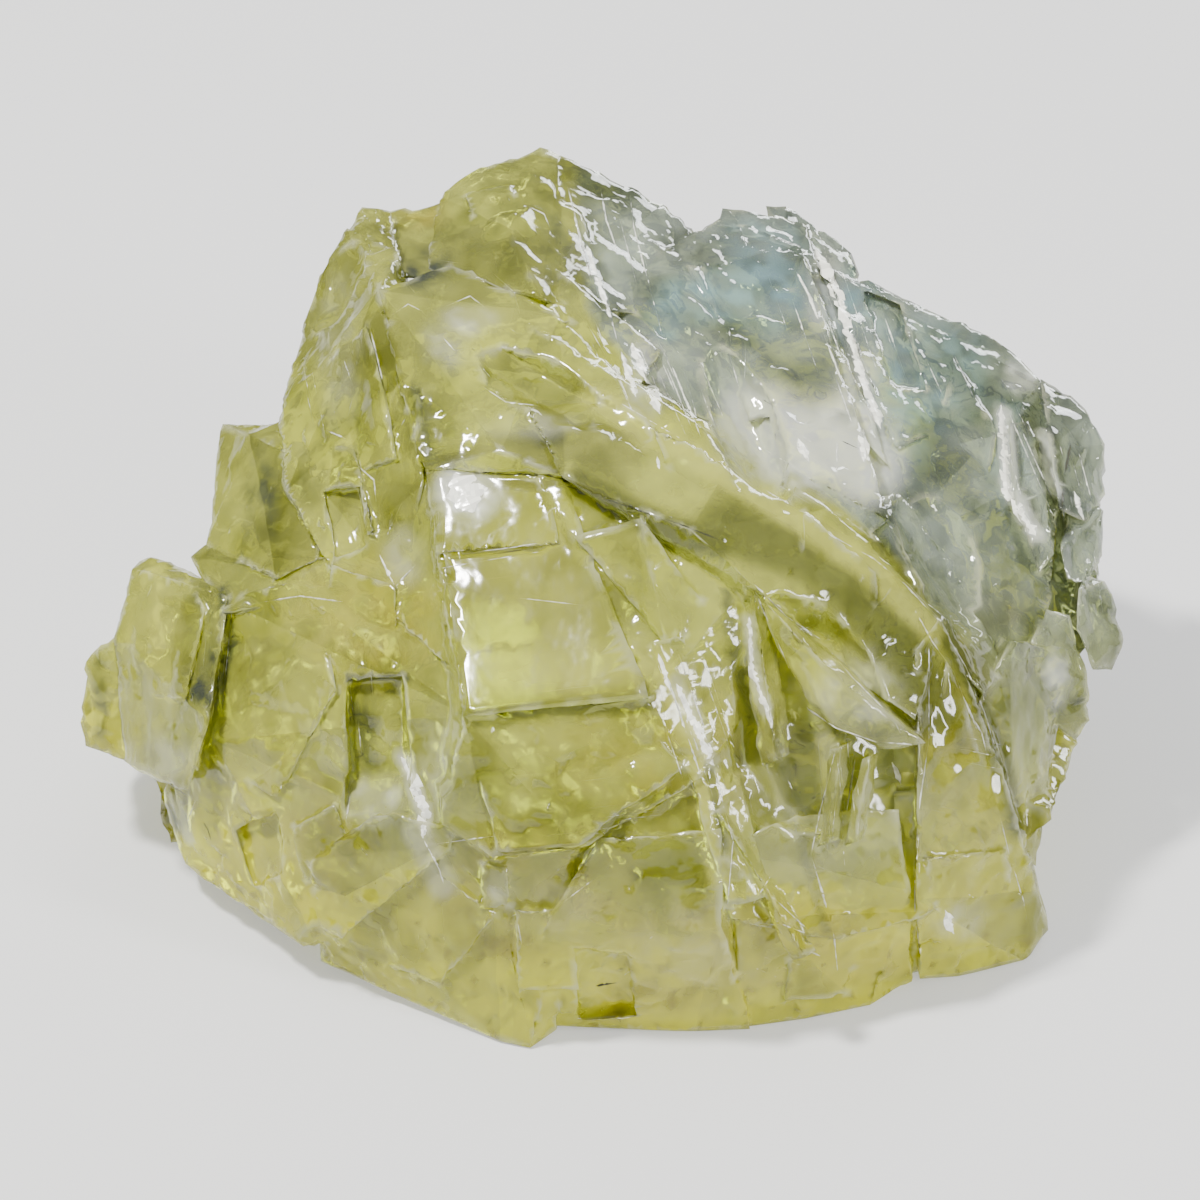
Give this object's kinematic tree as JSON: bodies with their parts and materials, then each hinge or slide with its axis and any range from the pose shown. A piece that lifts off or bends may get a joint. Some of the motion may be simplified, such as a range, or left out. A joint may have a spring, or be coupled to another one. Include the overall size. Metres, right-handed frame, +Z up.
{
  "type": "calcite cluster",
  "caption": "Cluster of pale yellow, glassy calcite: intergrown cleavage blocks in one broken mass that rests on a flat face.",
  "frame": {"origin": "middle of the cluster's outline from above, on the surface that it rests on", "axes": "+Z up, +X to the right along the longest way across, +Y to the back, away from the display side"},
  "size_m": [0.1066, 0.091, 0.0601],
  "materials": {
    "calcite": "glassy cleavage faces, clouded pale yellow inside"
  },
  "bodies": {
    "root": {"calcite_cluster": "calcite"}
  },
  "joints": []
}
